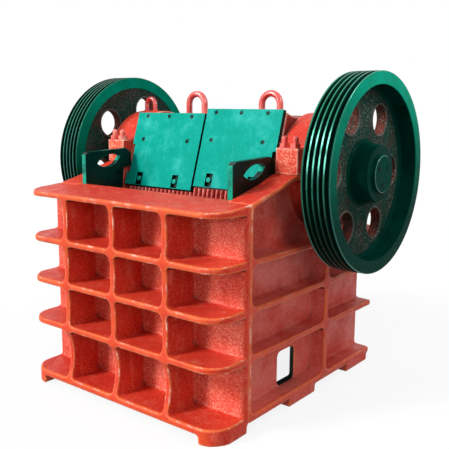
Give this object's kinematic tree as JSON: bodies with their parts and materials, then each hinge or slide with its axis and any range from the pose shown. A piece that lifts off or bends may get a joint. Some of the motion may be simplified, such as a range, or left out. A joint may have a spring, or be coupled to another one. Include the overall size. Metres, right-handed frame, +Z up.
{
  "type": "jaw crusher",
  "caption": "Single-toggle jaw crusher: ribbed cast frame, toothed jaws between cheek plates, eccentric shaft with two grooved flywheels, guard plates and lifting eyes.",
  "frame": {"origin": "on the floor under the middle of the machine, at the bottom centre of its box", "axes": "+Z up, +X along the eccentric shaft to the right seen from the feed side, +Y from the feed side to the adjusting side"},
  "size_m": [1.868, 1.44, 1.657],
  "materials": {
    "frame_red": "orange-red gloss paint on rough castings",
    "housing_red": "orange-red gloss paint",
    "eye_red": "red paint on forged bar",
    "jaw_red": "red paint on a casting",
    "liner_red": "red primer on manganese steel",
    "cheek_green": "dark green paint",
    "guard_teal": "teal paint on steel plate",
    "bolt_dark": "dark bolt heads",
    "wheel_green": "dark green gloss paint",
    "shaft_steel": "turned steel",
    "gear_iron": "dark cast iron"
  },
  "bodies": {
    "frame": {"adjusting_block": "gear_iron", "bearing_cap_left": "housing_red", "bearing_cap_right": "housing_red", "bearing_cover_left": "housing_red", "bearing_cover_right": "housing_red", "cap_eye_left": "eye_red", "cap_eye_right": "eye_red", "cap_studs_left": "housing_red", "cap_studs_right": "housing_red", "cheek_lower_left": "cheek_green", "cheek_lower_right": "cheek_green", "cheek_upper_left": "cheek_green", "cheek_upper_right": "cheek_green", "fixed_jaw_plate": "liner_red", "front_wall": "frame_red", "rear_wall": "frame_red", "side_wall_left": "frame_red", "side_wall_right": "frame_red", "toggle_plate": "gear_iron"},
    "rotor": {"eccentric_shaft": "shaft_steel", "flywheel_left": "wheel_green", "flywheel_right": "wheel_green", "shaft_cover_left": "wheel_green", "shaft_cover_right": "wheel_green"},
    "swing_jaw": {"guard_bolts_left": "bolt_dark", "guard_bolts_right": "bolt_dark", "guard_plate_left": "guard_teal", "guard_plate_right": "guard_teal", "jaw_eye_left": "eye_red", "jaw_eye_right": "eye_red", "jaw_seal_left": "jaw_red", "jaw_seal_right": "jaw_red", "moving_jaw_plate": "liner_red", "swing_jaw": "jaw_red", "tension_rods": "gear_iron", "tension_springs": "gear_iron"}
  },
  "joints": [
    {"name": "shaft_spin", "type": "hinge", "parent": "frame", "child": "rotor", "pos_m": [0, 0.22, 1.162], "axis": [1, 0, 0], "continuous": true},
    {"name": "jaw_ride", "type": "hinge", "parent": "rotor", "child": "swing_jaw", "pos_m": [0, 0.22, 1.152], "axis": [1, 0, 0], "continuous": true}
  ],
  "couplings": [
    {"joint": "jaw_ride", "follows": "shaft_spin", "ratio": -1}
  ]
}
